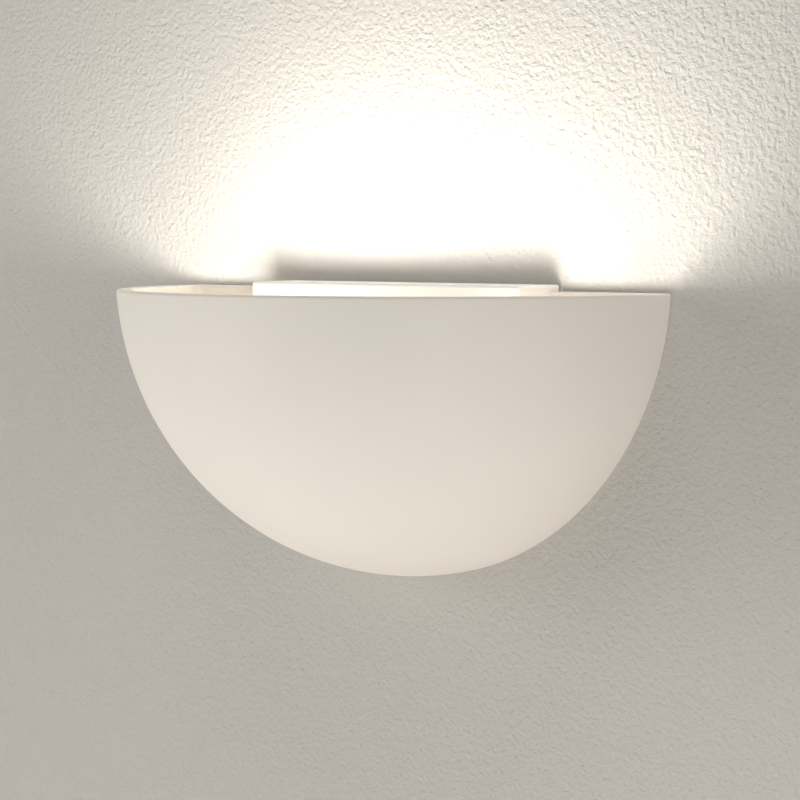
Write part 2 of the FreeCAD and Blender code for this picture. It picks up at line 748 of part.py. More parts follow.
def earth_terminal():
    """A stud in the back plate that holds the earth lead's ring under a nut."""
    x, z = mm.earth_x, mm.earth_z
    radius, end = mm.screw_radius, mm.stud_length
    points = [(0, 0), (0, radius), (end - radius * 0.3, radius), (end, radius * 0.7), (end, 0)]
    piece("earth_stud", turned("earth_stud", "-Y", (x, ZERO, z), points))

    seat = PLATE_FRONT
    thick = mm.tag_sheet
    half = mm.tag_barrel_radius
    ring = rod("tag_ring", "-Y", (x, seat, z), thick, mm.screw_head_radius)
    neck = block("tag_neck", (x - half, seat - thick, z), (x + half, seat, z + mm.tag_neck_length))
    base = (x, seat - half, z + mm.tag_barrel_start)
    barrel = rod("tag_barrel", "+Z", base, mm.tag_barrel_length, half)
    ring_hole = rod("tag_hole", "-Y", (x, ZERO, z), PAST, SCREW_HOLE)
    base = (x, seat - half, z + mm.tag_barrel_start - half)
    barrel_hole = rod("tag_bore", "+Z", base, 2 * PAST, mm.conductor_radius + mm.thread_gap)
    blank = join("tag_blank", ring, neck, barrel)
    piece("earth_tag", cut("earth_tag", blank, ring_hole, barrel_hole))

    seat = seat - thick
    outer, thick = mm.washer_radius, mm.washer_sheet
    points = [(0, SCREW_HOLE), (0, outer), (thick, outer), (thick, SCREW_HOLE)]
    washer = turned("earth_washer_blank", "-Y", (x, seat, z), points)
    gaps = []
    for step in range(8):
        angle = math.radians(45 * step + 22.5)
        base = (x + outer * math.cos(angle), seat + PAST, z + outer * math.sin(angle))
        gaps.append(rod(f"washer_gap_{step}", "-Y", base, 2 * PAST, mm.washer_gap_radius))
    piece("earth_washer", cut("earth_washer", washer, *gaps))
    base = (x, seat - thick, z)
    piece("earth_nut", hexagon("earth_nut", "-Y", base, mm.nut_height, mm.nut_flats, SCREW_HOLE))


# ---------------------------------------------------------------------------
# lamp bracket and lamp holder
# ---------------------------------------------------------------------------


def lamp_bracket():
    half = mm.bracket_half_height
    low, high = mm.lamp_level - half, mm.lamp_level + half
    seat, thick = mm.lamp_seat, mm.bracket_sheet
    tip_y = -mm.lamp_reach - mm.bracket_margin
    foot_end = seat + mm.bracket_foot
    upright = block("bracket_upright", (seat, tip_y, low), (seat + thick, BOX_FRONT, high))
    foot = block("bracket_foot", (seat, BOX_FRONT - thick, low), (foot_end, BOX_FRONT, high))
    blank = join("bracket_blank", upright, foot)

    def is_corner(edge):
        box = edge.BoundBox
        thin = max(box.XLength, box.YLength, box.ZLength) < thick.value + 0.01
        return thin and (is_flat(edge, "y", tip_y) or is_flat(edge, "x", foot_end))

    def is_bend(edge):
        return is_flat(edge, "x", seat) and is_flat(edge, "y", BOX_FRONT)

    corners = rounded("bracket_corners", blank, mm.bracket_corner, is_corner)
    bent = rounded("bracket_bent", corners, thick, is_bend)
    base = (seat - PAST, -mm.lamp_reach, mm.lamp_level)
    radius = mm.nipple_radius + mm.thread_gap
    tools = [rod("nipple_hole", "+X", base, 3 * PAST, radius)]
    for number, screw_z in enumerate(BRACKET_SCREWS):
        base = (BRACKET_SCREW_X, BOX_FRONT + PAST, screw_z)
        tools.append(rod(f"foot_hole_{number}", "-Y", base, 3 * PAST, SCREW_HOLE))
    piece("lamp_bracket", cut("lamp_bracket", bent, *tools))

    screws = []
    nuts = []
    for number, screw_z in enumerate(BRACKET_SCREWS):
        base = (BRACKET_SCREW_X, BOX_FRONT - thick, screw_z)
        screws.append(pan_screw(f"bracket_screw_{number}", "+Y", base, mm.screw_length))
        name = f"bracket_nut_{number}"
        base = (BRACKET_SCREW_X, BOX_FRONT + mm.box_sheet, screw_z)
        nuts.append(hexagon(name, "+Y", base, mm.nut_height, mm.nut_flats, SCREW_HOLE))
    piece("bracket_screws", group("bracket_screws", screws))
    piece("bracket_nuts", group("bracket_nuts", nuts))


def lamp_holder():
    hole = mm.nipple_radius + mm.thread_gap
    rear, front = -mm.nipple_rear - mm.bracket_sheet, mm.nipple_front
    points = [
        (rear, mm.nipple_bore),
        (rear, mm.nipple_radius),
        (front, mm.nipple_radius),
        (front, mm.nipple_bore),
    ]
    piece("holder_nipple", turned("holder_nipple", "-X", LAMP_AXIS, points))
    base = (mm.lamp_seat + mm.bracket_sheet, -mm.lamp_reach, mm.lamp_level)
    flats = mm.locknut_flats
    locknut = hexagon("holder_locknut", "+X", base, mm.locknut_height, flats, hole)
    piece("holder_locknut", locknut)

    outer, wall = mm.holder_radius, mm.holder_wall
    inner = outer - wall
    joint = mm.holder_cap_length
    points = [
        (0, hole),
        (0, outer * 0.62),
        (wall, outer * 0.66),
        (wall * 2.2, outer * 0.9),
        (wall * 3.6, outer),
        (joint, outer),
        (joint, inner),
        (wall * 3.8, inner),
        (wall * 2.9, inner * 0.9),
        (wall * 1.9, inner * 0.7),
        (wall * 1.9, hole),
    ]
    piece("holder_cap", turned("holder_cap", "-X", LAMP_AXIS, points))

    bore, mouth = HOLDER_BORE, HOLDER_MOUTH
    spigot = inner - mm.thread_gap
    spigot_end = joint - mm.holder_spigot
    points = [
        (spigot_end, bore),
        (spigot_end, spigot),
        (joint, spigot),
        (joint, outer),
        (mouth - wall, outer - wall * 0.25),
        (mouth - wall * 0.3, outer - wall * 0.6),
        (mouth, outer - wall * 1.3),
        (mouth, bore),
    ]
    skirt = turned("skirt_blank", "-X", LAMP_AXIS, points)
    flutes = []
    reach = outer + mm.flute_radius / 2
    for step in range(24):
        angle = math.radians(15 * step)
        y = reach * math.cos(angle) - mm.lamp_reach
        z = reach * math.sin(angle) + mm.lamp_level
        base = (mm.lamp_seat - mouth + wall * 1.4, y, z)
        length = mouth - joint - wall * 2.4
        flutes.append(rod(f"flute_{step}", "+X", base, length, mm.flute_radius))
    piece("holder_skirt", cut("holder_skirt", skirt, *flutes))

    base = (mm.lamp_seat - CORE_REAR, -mm.lamp_reach, mm.lamp_level)
    core = rod("core_blank", "-X", base, mm.core_length, bore - mm.core_gap)
    radius = mm.small_screw_radius
    tools = []
    screws = []
    for number, way in enumerate((-1, 1)):
        base = (base[0], base[1], mm.lamp_level + mm.holder_screw_offset * way)
        hole = radius + mm.thread_gap
        tools.append(rod(f"core_hole_{number}", "-X", base, mm.core_length, hole))
        length = mm.core_length - mm.contact_sheet
        screws.append(pan_screw(f"holder_screw_{number}", "-X", base, length, radius))
    piece("holder_core", cut("holder_core", core, *tools))
    piece("holder_terminal_screws", group("holder_terminal_screws", screws))

    base_end = CORE_FRONT + mm.contact_sheet
    contact_tip = mm.lamp_stand - mm.thread_clearance
    points = [
        (CORE_FRONT, 0),
        (CORE_FRONT, mm.contact_base_radius),
        (base_end, mm.contact_base_radius),
        (contact_tip, mm.contact_tip_radius),
        (contact_tip, 0),
    ]
    piece("holder_centre_contact", turned("holder_centre_contact", "-X", LAMP_AXIS, points))
    piece("holder_shell", feature("holder_shell", holder_shell(), LAMP_AXIS, "-X"))


def ring_line(start, turns, crest, root_radius):
    """Arcs that swing between the crest and the root radius, one crest and root a turn."""
    pitch = mm.thread_pitch.value
    middle = (crest + root_radius) / 2
    edges = []
    for half in range(2 * int(turns)):
        a = start + half * pitch / 2
        peak = crest if half % 2 == 0 else root_radius
        points = [Vector(a, middle, 0), Vector(a + pitch / 4, peak, 0), Vector(a + pitch / 2, middle, 0)]
        edges.append(Part.Arc(*points).toShape())
    return edges, start + 2 * int(turns) * pitch / 2, middle


def line(*points):
    vectors = [Vector(along, radius, 0) for along, radius in points]
    return [Part.LineSegment(a, b).toShape() for a, b in zip(vectors, vectors[1:])]


def spun(edges):
    face = Part.Face(Part.Wire(Part.__sortEdges__(edges)))
    return face.revolve(Vector(0, 0, 0), Vector(1, 0, 0), 360)


def holder_shell():
    """The brass shell that the lamp's thread turns in."""
    gap = mm.thread_clearance.value
    wall = mm.shell_sheet.value
    turns = mm.thread_turns.value - 1  # the last turn is left to the mouth
    start = (mm.lamp_stand + mm.thread_start).value
    crest, root_radius = mm.thread_crest.value + gap, mm.thread_root.value + gap
    rings, end, middle = ring_line(start, turns, crest, root_radius)
    outside = SHELL_OUTSIDE.value
    mouth = (HOLDER_MOUTH - mm.shell_inset).value
    foot = CORE_FRONT.value
    hole = mm.shell_hole.value
    rest = line(
        (end, middle),
        (end, outside - wall),
        (mouth, outside - wall),
        (mouth, outside),
        (foot, outside),
        (foot, hole),
        (foot + wall, hole),
        (foot + wall, middle),
        (start, middle),
    )
    return spun(rings + rest)


# ---------------------------------------------------------------------------
# lamp
# ---------------------------------------------------------------------------


def lamp_cap():
    """The lamp's threaded cap with its black glass foot and its contact."""
    start = mm.thread_start.value
    crest, root_radius = mm.thread_crest.value, mm.thread_root.value
    rings, end, middle = ring_line(start, mm.thread_turns.value, crest, root_radius)
    wall = mm.shell_sheet.value
    inside = root_radius - wall
    collar = mm.lamp_neck_radius.value + wall
    collar_start = COLLAR_START.value
    rim = mm.lamp_cap_length.value
    foot = mm.cap_foot.value
    glass = mm.insulator_radius.value
    rest = line(
        (end, middle),
        (collar_start, collar),
        (rim, collar),
        (rim, collar - wall),
        (collar_start + wall, collar - wall),
        (end + wall, inside),
        (foot + 1, inside),
        (foot + wall, glass + wall / 2),
        (foot, glass + wall),
        (start - wall, middle),
        (start, middle),
    )
    piece("bulb_cap", feature("bulb_cap", spun(rings + rest), LAMP_FOOT, "-X"))

    near, far = mm.insulator_start, mm.insulator_end
    outer, neck = mm.insulator_radius, mm.insulator_neck
    points = [(near, 0), (near, neck), (far - 1, outer), (far, outer), (far, 0)]
    piece("bulb_insulator", turned("bulb_insulator", "-X", LAMP_FOOT, points))
    edge = mm.contact_tip_radius * 1.5
    points = [(0, 0), (0, mm.contact_tip_radius), (near / 2, edge), (near, edge), (near, 0)]
    piece("bulb_contact", turned("bulb_contact", "-X", LAMP_FOOT, points))


def glass_side(offset):
    """The lamp's outline from its neck to its tip, moved inwards by offset."""
    radius = mm.lamp_radius.value
    neck = NECK_OUTSIDE.value
    centre = mm.lamp_length.value - radius
    hollow = mm.lamp_flank_radius.value
    # the flank's circle touches the neck line from outside and the globe from outside
    flank_r = neck + hollow
    flank_x = centre - math.sqrt((radius + hollow) ** 2 - flank_r ** 2)
    share = radius / (radius + hollow)
    touch = Vector(centre + (flank_x - centre) * share, flank_r * share, 0)

    def on_circle(middle, size, angle):
        return middle + Vector(math.cos(angle), math.sin(angle), 0) * size

    flank_middle = Vector(flank_x, flank_r, 0)
    globe_middle = Vector(centre, 0, 0)
    first = math.pi * 1.5
    last = math.atan2(touch.y - flank_r, touch.x - flank_x) % (2 * math.pi)
    flank = [on_circle(flank_middle, hollow + offset, first + (last - first) * step / 2)
             for step in range(3)]
    first = math.atan2(touch.y, touch.x - centre)
    globe = [on_circle(globe_middle, radius - offset, first * (2 - step) / 2) for step in range(3)]
    low = Vector(NECK_START.value, neck - offset, 0)
    return [
        Part.LineSegment(low, flank[0]).toShape(),
        Part.Arc(*flank).toShape(),
        Part.Arc(*globe).toShape(),
    ]


def lamp_glass():
    wall = mm.glass_wall.value
    outer, inner = glass_side(0), glass_side(wall)
    tip = mm.lamp_length.value
    ends = [outer[0].Vertexes[0].Point, inner[0].Vertexes[0].Point]
    edges = outer + inner + [Part.LineSegment(*ends).toShape()] + line((tip, 0), (tip - wall, 0))
    piece("bulb_glass", feature("bulb_glass", spun(edges), LAMP_FOOT, "-X"))


def lamp_inside():
    """The glass stem, and four light-giving rods on their support wires."""
    stem_top = mm.lamp_length - mm.lamp_radius * 1.5
    start = NECK_START
    flare = NECK_OUTSIDE - mm.glass_wall
    radius = mm.stem_radius
    points = [
        (start, 0),
        (start, flare),
        (start + mm.glass_wall, flare),
        (start + radius, radius * 1.3),
        (start + radius * 4, radius),
        (stem_top, radius * 0.8),
        (stem_top + radius, radius * 0.5),
        (stem_top + radius, 0),
    ]
    piece("bulb_stem", turned("bulb_stem", "-X", LAMP_FOOT, points))

    low = stem_top - mm.lamp_radius * 0.35
    high = mm.lamp_length - mm.lamp_radius * 0.55
    thin = mm.wire_radius.value
    foot_x, foot_y, foot_z = LAMP_FOOT
    foot = Vector(*(length.value for length in LAMP_FOOT))
    near = foot - Vector(low.value, 0, 0)
    far = foot - Vector(high.value, 0, 0)
    rods = []
    wires = [Part.makeCylinder(thin, near.x - far.x + 2 * thin, near + Vector(thin, 0, 0), far - near)]
    for step in range(4):
        angle = math.radians(90 * step + 45)
        across, up = mm.filament_spread * math.cos(angle), mm.filament_spread * math.sin(angle)
        base = (foot_x - low, foot_y + across, foot_z + up)
        rods.append(rod(f"filament_{step}", "-X", base, high - low, mm.filament_radius))
        out = Vector(0, across.value, up.value)
        for hub, shift in ((near, thin), (far, -thin)):
            wires.append(Part.makeCylinder(thin, out.Length + thin, hub + Vector(shift, 0, 0), out))
    doc.recompute()
    spider = wires[0].fuse(wires[1:]).cut(pieces["bulb_stem"].Shape)
    piece("bulb_filaments", group("bulb_filaments", rods))
    piece("bulb_supports", feature("bulb_supports", spider))


# ---------------------------------------------------------------------------
# thumb screws that hold the shade
# ---------------------------------------------------------------------------


def thumb_screws():
    wall_seat = -mm.back_wall
    thick = mm.thumb_washer_height
    bore, rim = mm.screw_radius + SMALL_GAP, mm.thumb_washer_radius
    washer_points = [(0, bore), (0, rim), (thick, rim), (thick, bore)]
    head_seat = wall_seat - thick - mm.seat_gap
    shank = mm.screw_radius
    reach = -head_seat - mm.thumb_end_inset
    radius, high = mm.thumb_head_radius, mm.thumb_head_height
    screw_points = [
        (-high, 0),
        (-high, radius * 0.9),
        (-high * 0.92, radius),
        (-high * 0.2, radius),
        (-high * 0.12, radius * 0.9),
        (-high * 0.12, radius * 0.6),
        (0, radius * 0.6),
        (0, shank),
        (reach - shank * 0.4, shank),
        (reach, shank * 0.7),
        (reach, 0),
    ]
    ring = radius + mm.knurl_radius / 2
    washers = []
    for side, x in (("left", THUMB_LEFT), ("right", THUMB_RIGHT)):
        base = (x, wall_seat, mm.ear_level)
        washers.append(turned("thumb_washer_" + side, "-Y", base, washer_points))
        base = (x, head_seat, mm.ear_level)
        blank = turned(f"thumb_screw_{side}_blank", "+Y", base, screw_points)
        knurls = []
        for step in range(24):
            angle = math.radians(15 * step)
            start = head_seat - high - PAST
            base = (x + ring * math.cos(angle), start, mm.ear_level + ring * math.sin(angle))
            name = f"knurl_{side}_{step}"
            knurls.append(rod(name, "+Y", base, high + PAST, mm.knurl_radius))
        node = "thumb_screw_" + side
        piece(node, cut(node, blank, *knurls))
    piece("thumb_washers", group("thumb_washers", washers))


# ---------------------------------------------------------------------------
# wiring
# ---------------------------------------------------------------------------


def wiring():
    """The two leads to the lamp holder, the earth lead, and the grommet in the box front."""
    radius, lip = mm.lead_grommet_radius, mm.grommet_lip
    bore = mm.lead_half_pitch + mm.lead_radius + mm.seat_gap
    wall = mm.box_sheet
    points = [
        (-lip, bore),
        (-lip, radius + lip * 0.5),
        (-lip * 0.5, radius + lip),
        (0, radius + lip),
        (0, radius),
        (wall, radius),
        (wall, radius + lip),
        (wall + lip * 0.5, radius + lip),
        (wall + lip, radius + lip * 0.5),
        (wall + lip, bore),
    ]
    base = (mm.lead_hole_x, BOX_FRONT + wall, mm.lead_hole_z)
    piece("lead_grommet", turned("lead_grommet", "-Y", base, points))

    # routes: each turn is given by its distance from the piece that the lead runs past
    exit_x = BLOCK_RIGHT - 1
    hole_x, hole_z = mm.lead_hole_x, mm.lead_hole_z
    lamp_y, lamp_z = -mm.lamp_reach, mm.lamp_level
    core_rear = mm.lamp_seat - CORE_REAR
    for node, way, pole_z in (("lead_live", 1, POLES[2]), ("lead_neutral", -1, POLES[1])):
        side = mm.lead_half_pitch * way
        points = [
            (exit_x, CLAMP_Y, pole_z),
            (exit_x + 14, CLAMP_Y, pole_z),
            (hole_x - 12, CLAMP_Y - 1, hole_z + side * 2),
            (hole_x, CLAMP_Y - 10, hole_z + side),
            (hole_x, BOX_FRONT - 10, hole_z + side),
            (hole_x + 6, BOX_FRONT - 22, hole_z + side - 10),
            (hole_x + 8, lamp_y + 2, lamp_z + side + 5),
            (hole_x + 1, lamp_y, lamp_z + side),
            (mm.lamp_seat - mm.nipple_front - 0.5, lamp_y, lamp_z + side),
            (core_rear + 2.4, lamp_y, lamp_z + (mm.holder_screw_offset - 3.4) * way),
        ]
        lead(node, points, mm.clamped_end.value, 1.5)
    tag_top = mm.earth_z + mm.tag_barrel_start + mm.tag_barrel_length
    points = [
        (exit_x, CLAMP_Y, POLES[0]),
        (exit_x + 5, CLAMP_Y, POLES[0]),
        (mm.earth_x, CLAMP_Y + 2, tag_top + 9),
        (mm.earth_x, PLATE_FRONT - mm.tag_barrel_radius, tag_top + 0.5),
    ]
    lead("lead_earth", points, mm.clamped_end.value, 0.1)


# ---------------------------------------------------------------------------
# build, check and write
# ---------------------------------------------------------------------------

shade()
back_plate()
gear_box()
cover_screws()
cable_grommet()
press_nuts()
terminal_block()
earth_terminal()
lamp_bracket()
lamp_holder()
lamp_cap()
lamp_glass()
lamp_inside()
thumb_screws()
wiring()
doc.recompute()

for item in doc.Objects:
    if {"Invalid", "Error"} & set(item.State):
        raise RuntimeError(f"{item.Label} failed: {item.State}")
for node, item in pieces.items():
    if item.Shape.isNull() or not item.Shape.isValid() or not item.Shape.Solids:
        raise RuntimeError(f"{node} has no valid solid")

os.makedirs("parts", exist_ok=True)
for node, item in pieces.items():
    item.Shape.exportStep(f"parts/{node}.step")
    print(node, len(item.Shape.Solids), "solids", round(item.Shape.Volume, 1), "mm3")
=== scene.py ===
"""The looks of an uplighter wall sconce: a lit plaster half bowl on a plain wall.

Everything is in metres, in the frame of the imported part: the wall is the plane y = 0, the
room is at y < 0, +Z is up and +X is to the right seen from the room.
"""

import json
import math

import bmesh
import bpy
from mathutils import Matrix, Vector


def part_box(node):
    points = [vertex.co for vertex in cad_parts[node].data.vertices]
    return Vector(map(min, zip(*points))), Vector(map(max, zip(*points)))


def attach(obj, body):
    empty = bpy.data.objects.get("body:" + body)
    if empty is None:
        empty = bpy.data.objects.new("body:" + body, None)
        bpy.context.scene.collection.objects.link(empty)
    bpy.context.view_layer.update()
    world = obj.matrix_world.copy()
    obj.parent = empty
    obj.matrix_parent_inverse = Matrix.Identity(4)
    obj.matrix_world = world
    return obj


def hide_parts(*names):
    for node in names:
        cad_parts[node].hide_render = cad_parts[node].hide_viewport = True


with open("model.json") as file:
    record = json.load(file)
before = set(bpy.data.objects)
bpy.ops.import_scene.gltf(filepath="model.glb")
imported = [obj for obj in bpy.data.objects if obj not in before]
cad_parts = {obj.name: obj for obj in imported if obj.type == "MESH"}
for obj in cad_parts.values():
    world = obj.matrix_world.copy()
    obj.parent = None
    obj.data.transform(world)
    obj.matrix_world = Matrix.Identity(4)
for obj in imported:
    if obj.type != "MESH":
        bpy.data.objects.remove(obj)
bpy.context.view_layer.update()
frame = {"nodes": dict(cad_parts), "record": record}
NODES = frame["nodes"]

# ---------------------------------------------------------------------------
# materials
# ---------------------------------------------------------------------------


NOISE_DARK, NOISE_LIGHT = 0.3, 0.7  # the part of the noise's range that is used


def set_range(node, start, end, low, high):
    """Makes a Map Range node go from low to high as its value goes from start to end."""
    for socket, value in (("From Min", start), ("From Max", end), ("To Min", low), ("To Max", high)):
        node.inputs[socket].default_value = value


class Paint:
    """A Principled material and the few nodes that vary it over the surface."""

    def __init__(self, name, color, roughness, metallic=0.0, **sockets):
        self.material = bpy.data.materials.new(name)
        self.material.use_nodes = True
        self.tree = self.material.node_tree
        self.shader = self.tree.nodes["Principled BSDF"]
        self.shader.inputs["Base Color"].default_value = (*color, 1.0)
        self.shader.inputs["Roughness"].default_value = roughness
        self.shader.inputs["Metallic"].default_value = metallic
        for socket, value in sockets.items():
            self.shader.inputs[socket.replace("_", " ")].default_value = value
        self.place = self.tree.nodes.new("ShaderNodeTexCoord").outputs["Object"]
        self.normal = None

    def noise(self, size, detail=3.0, stretch=(1.0, 1.0, 1.0)):
        """Noise whose blobs are about size metres across."""
        mapping = self.tree.nodes.new("ShaderNodeMapping")
        mapping.inputs["Scale"].default_value = stretch
        self.tree.links.new(self.place, mapping.inputs["Vector"])
        texture = self.tree.nodes.new("ShaderNodeTexNoise")
        texture.inputs["Scale"].default_value = 1.0 / size
        texture.inputs["Detail"].default_value = detail
        self.tree.links.new(mapping.outputs["Vector"], texture.inputs["Vector"])
        return texture.outputs["Fac"]

    def tint(self, factor, low, high):
        """Base colour from low where the noise is dark to high where it is light."""
        ramp = self.tree.nodes.new("ShaderNodeValToRGB")
        ramp.color_ramp.elements[0].position = NOISE_DARK
        ramp.color_ramp.elements[1].position = NOISE_LIGHT
        ramp.color_ramp.elements[0].color = (*low, 1.0)
        ramp.color_ramp.elements[1].color = (*high, 1.0)
        self.tree.links.new(factor, ramp.inputs["Fac"])
        self.tree.links.new(ramp.outputs["Color"], self.shader.inputs["Base Color"])

    def rough(self, factor, low, high):
        """Roughness from low where the noise is dark to high where it is light."""
        node = self.tree.nodes.new("ShaderNodeMapRange")
        set_range(node, NOISE_DARK, NOISE_LIGHT, low, high)
        self.tree.links.new(factor, node.inputs["Value"])
        self.tree.links.new(node.outputs["Result"], self.shader.inputs["Roughness"])

    def bump(self, height, depth):
        """Adds relief, depth metres deep between the noise's darkest and lightest."""
        node = self.tree.nodes.new("ShaderNodeBump")
        node.inputs["Distance"].default_value = depth
        self.tree.links.new(height, node.inputs["Height"])
        if self.normal is not None:
            self.tree.links.new(self.normal, node.inputs["Normal"])
        self.normal = node.outputs["Normal"]
        self.tree.links.new(self.normal, self.shader.inputs["Normal"])

    def clear_where(self, factor):
        """Makes the material transparent as far as factor goes to one."""
        clear = self.tree.nodes.new("ShaderNodeBsdfTransparent")
        mix = self.tree.nodes.new("ShaderNodeMixShader")
        self.tree.links.new(factor, mix.inputs["Fac"])
        self.tree.links.new(self.shader.outputs["BSDF"], mix.inputs[1])
        self.tree.links.new(clear.outputs["BSDF"], mix.inputs[2])
        self.tree.links.new(mix.outputs["Shader"], self.tree.nodes["Material Output"].inputs["Surface"])


def shades(color, spread):
    """Two tones of a colour, a little darker and a little lighter."""
    return [tuple(min(1.0, part * factor) for part in color) for factor in (1 - spread, 1 + spread)]


PLASTER_COLOR = (0.80, 0.745, 0.67)
POWDER_COLOR = (0.86, 0.84, 0.80)
GLASS_GLOW = 1.1  # emission strength


def plaster():
    paint = Paint("plaster", PLASTER_COLOR, 0.75, Specular_IOR_Level=0.3)
    paint.tint(paint.noise(0.09, 2.0), *shades(PLASTER_COLOR, 0.015))
    paint.rough(paint.noise(0.03), 0.66, 0.82)
    paint.bump(paint.noise(0.03, 2.0), 0.0004)
    paint.bump(paint.noise(0.0012, 4.0), 0.00004)
    return paint.material


def powder_coat():
    paint = Paint("white_powder_coat", POWDER_COLOR, 0.42, Specular_IOR_Level=0.5)
    paint.tint(paint.noise(0.05, 2.0), *shades(POWDER_COLOR, 0.01))
    paint.rough(paint.noise(0.02), 0.36, 0.48)
    paint.bump(paint.noise(0.0016, 2.0), 0.00006)
    return paint.material


def zinc(name, color, roughness, grain=(1.0, 1.0, 1.0)):
    paint = Paint(name, color, roughness, 1.0)
    paint.tint(paint.noise(0.006, 4.0), *shades(color, 0.08))
    paint.rough(paint.noise(0.004), roughness - 0.08, roughness + 0.1)
    paint.bump(paint.noise(0.0008, 3.0, grain), 0.000015)
    return paint.material


def metal(name, color, roughness):
    paint = Paint(name, color, roughness, 1.0)
    paint.tint(paint.noise(0.004, 3.0), *shades(color, 0.05))
    paint.rough(paint.noise(0.003), roughness - 0.05, roughness + 0.08)
    return paint.material


def moulded(name, color, roughness):
    paint = Paint(name, color, roughness)
    paint.tint(paint.noise(0.01, 2.0), *shades(color, 0.03))
    paint.rough(paint.noise(0.006), roughness - 0.06, roughness + 0.06)
    paint.bump(paint.noise(0.0006, 3.0), 0.00001)
    return paint.material


def lamp_glass():
    """Frosted glass that glows, and lets the light of the lamp inside it through."""
    paint = Paint("lamp_glass", (0.92, 0.90, 0.86), 0.25)
    paint.shader.inputs["Emission Color"].default_value = (1.0, 0.87, 0.68, 1.0)
    paint.shader.inputs["Emission Strength"].default_value = GLASS_GLOW
    paint.bump(paint.noise(0.0006, 2.0), 0.00001)
    seen = paint.tree.nodes.new("ShaderNodeLightPath")
    paint.clear_where(seen.outputs["Is Shadow Ray"])
    return paint.material


WHITE_METAL = powder_coat()
STEEL = zinc("zinc_steel", (0.62, 0.61, 0.59), 0.34)
PLATE = zinc("zinc_plate", (0.58, 0.58, 0.57), 0.42, (1.0, 1.0, 0.12))
BRASS = metal("brass", (0.72, 0.53, 0.25), 0.26)
NICKEL = metal("nickel", (0.70, 0.67, 0.61), 0.22)
CAP = metal("lamp_cap", (0.74, 0.72, 0.68), 0.28)
NYLON = moulded("nylon", (0.78, 0.77, 0.71), 0.48)
RUBBER = moulded("rubber", (0.03, 0.03, 0.03), 0.7)
HOLDER = moulded("holder_white", (0.80, 0.79, 0.75), 0.28)
PORCELAIN = moulded("porcelain", (0.84, 0.83, 0.80), 0.12)
BLACK_GLASS = moulded("black_glass", (0.01, 0.01, 0.012), 0.1)
LEADS = {
    "lead_live": moulded("brown_insulation", (0.14, 0.06, 0.03), 0.4),
    "lead_neutral": moulded("blue_insulation", (0.04, 0.12, 0.36), 0.4),
    "lead_earth": moulded("green_insulation", (0.10, 0.28, 0.04), 0.4),
}

FINISHES = {
    "plaster": plaster(),
    "white_metal": WHITE_METAL,
    "zinc_plate": PLATE,
    "screws": STEEL,
    "thumb_brass": NICKEL,
    "contact_brass": BRASS,
    "nylon": NYLON,
    "rubber": RUBBER,
    "holder_plastic": HOLDER,
    "porcelain": PORCELAIN,
    "cap_metal": CAP,
    "black_glass": BLACK_GLASS,
    "lamp_glass": lamp_glass(),
    "stem_glass": PORCELAIN,
    "filament": NYLON,
    "lead_brown": LEADS["lead_live"],
    "lead_blue": LEADS["lead_neutral"],
    "lead_green": LEADS["lead_earth"],
}

for part in frame["record"]["subparts"]:
    node = NODES[part["node"]]
    node.data.materials.clear()
    node.data.materials.append(FINISHES[part["material_slot"]])

# ---------------------------------------------------------------------------
# shade: the cast plaster bowl, rounded where its curved outside meets the flat back
# ---------------------------------------------------------------------------

BACK_EDGE_ROUND = 0.0011
ROUND_SEGMENTS = 4
BACK_FACE_SLACK = 1e-5  # how far off the wall plane a point of the back may be
FLAT_BACK = 0.9  # least share of a normal along Y on the flat back
SHARP_TURN = 0.6  # least angle, in radians, of the edge that is rounded
NEAR_OUTLINE = 0.8  # least distance from the rim's middle, as a share of the half width
FACES_OUT = 0.2  # least share of the side's normal away from the bowl's middle
SAME_POINT = 1e-6
SMOOTH_UNDER = math.radians(35)
SHADE_LOW, SHADE_HIGH = (Vector(corner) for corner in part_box("shade"))


def is_back_edge(edge):
    """True where the flat back meets the bowl's curved outside."""
    if len(edge.link_faces) != 2 or any(abs(vert.co.y) > BACK_FACE_SLACK for vert in edge.verts):
        return False
    sides = [face for face in edge.link_faces if abs(face.normal.y) < FLAT_BACK]
    if len(sides) != 1 or edge.calc_face_angle() < SHARP_TURN:
        return False
    middle = (edge.verts[0].co + edge.verts[1].co) / 2
    outward = Vector((middle.x, 0.0, middle.z - SHADE_HIGH.z))
    near_outline = outward.length > NEAR_OUTLINE * SHADE_HIGH.x
    return near_outline and sides[0].normal.dot(outward.normalized()) > FACES_OUT


def rounded_shade():
    """A copy of the shade's mesh, with the curved part of its back edge rounded."""
    mesh = NODES["shade"].data.copy()
    mesh.name = "plaster_shade"
    form = bmesh.new()
    form.from_mesh(mesh)
    bmesh.ops.remove_doubles(form, verts=form.verts, dist=SAME_POINT)
    edges = [edge for edge in form.edges if is_back_edge(edge)]
    bmesh.ops.bevel(
        form, geom=edges, offset=BACK_EDGE_ROUND, segments=ROUND_SEGMENTS, profile=0.5, affect="EDGES"
    )
    # the rounding would otherwise reach 0.08 mm past the shade's own box
    for vert in form.verts:
        vert.co = [min(max(part, low), high) for part, low, high in zip(vert.co, SHADE_LOW, SHADE_HIGH)]
    form.to_mesh(mesh)
    form.free()
    mesh.set_sharp_from_angle(angle=SMOOTH_UNDER)
    piece = bpy.data.objects.new("plaster_shade", mesh)
    bpy.context.scene.collection.objects.link(piece)
    normals = piece.modifiers.new("flat_faces_stay_flat", "WEIGHTED_NORMAL")
    normals.keep_sharp = True
    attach(piece, "shade")
    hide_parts("shade")


rounded_shade()

# ---------------------------------------------------------------------------
# leads: soft wires in place of the frame's tubes
# ---------------------------------------------------------------------------

